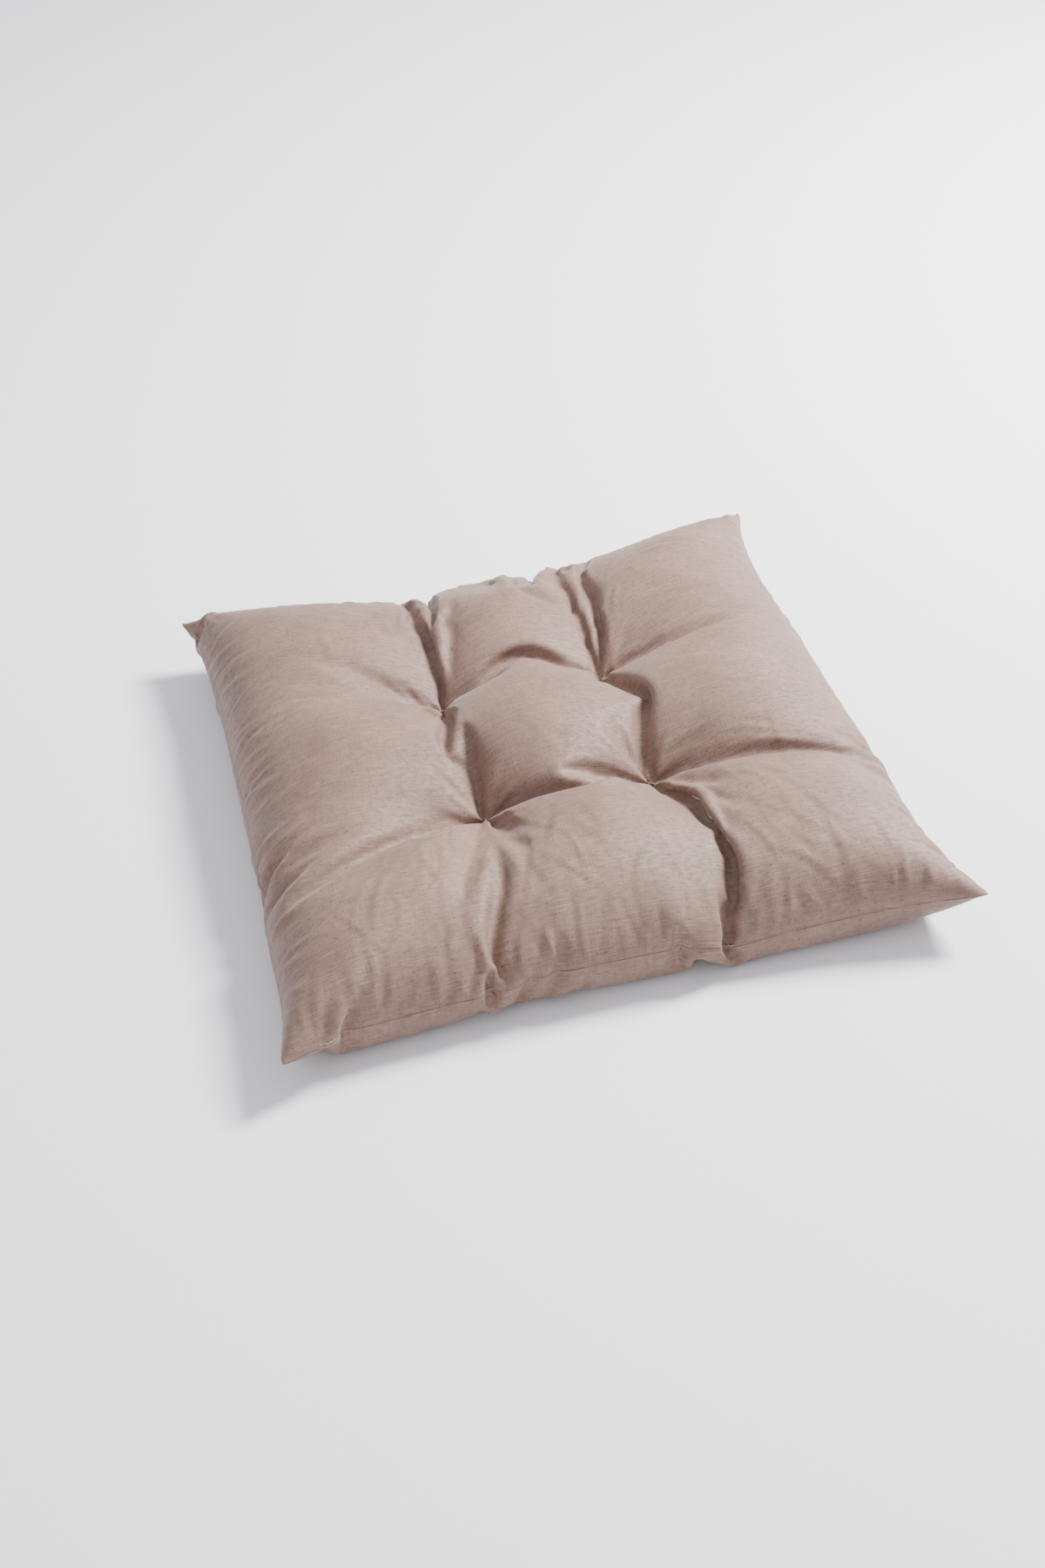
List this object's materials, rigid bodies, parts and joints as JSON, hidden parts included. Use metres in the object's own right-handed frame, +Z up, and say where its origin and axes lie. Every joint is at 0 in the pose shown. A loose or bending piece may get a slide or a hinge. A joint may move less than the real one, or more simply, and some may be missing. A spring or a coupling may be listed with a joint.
{
  "type": "chair seat pad",
  "caption": "Square knife-edge chair seat pad of woven fabric over fibre stuffing, pulled into nine lobes by thread tufts.",
  "frame": {"origin": "on the resting plane, below the middle of the pad", "axes": "+Z up through the pad's thickness, -Y towards the front edge, +X to the right when seen from the front"},
  "size_m": [0.4, 0.4, 0.076],
  "materials": {
    "woven_cotton": "matte",
    "polyester_fibre": "matte",
    "sewing_thread": "matte",
    "tufting_twine": "matte"
  },
  "bodies": {
    "root": {"top_panel": "woven_cotton", "bottom_panel": "woven_cotton", "fibre_fill": "polyester_fibre", "edge_seam_thread": "sewing_thread", "closing_stitch": "sewing_thread", "tuft_tie_front_left": "tufting_twine", "tuft_tie_front_right": "tufting_twine", "tuft_tie_back_left": "tufting_twine", "tuft_tie_back_right": "tufting_twine"}
  },
  "joints": []
}
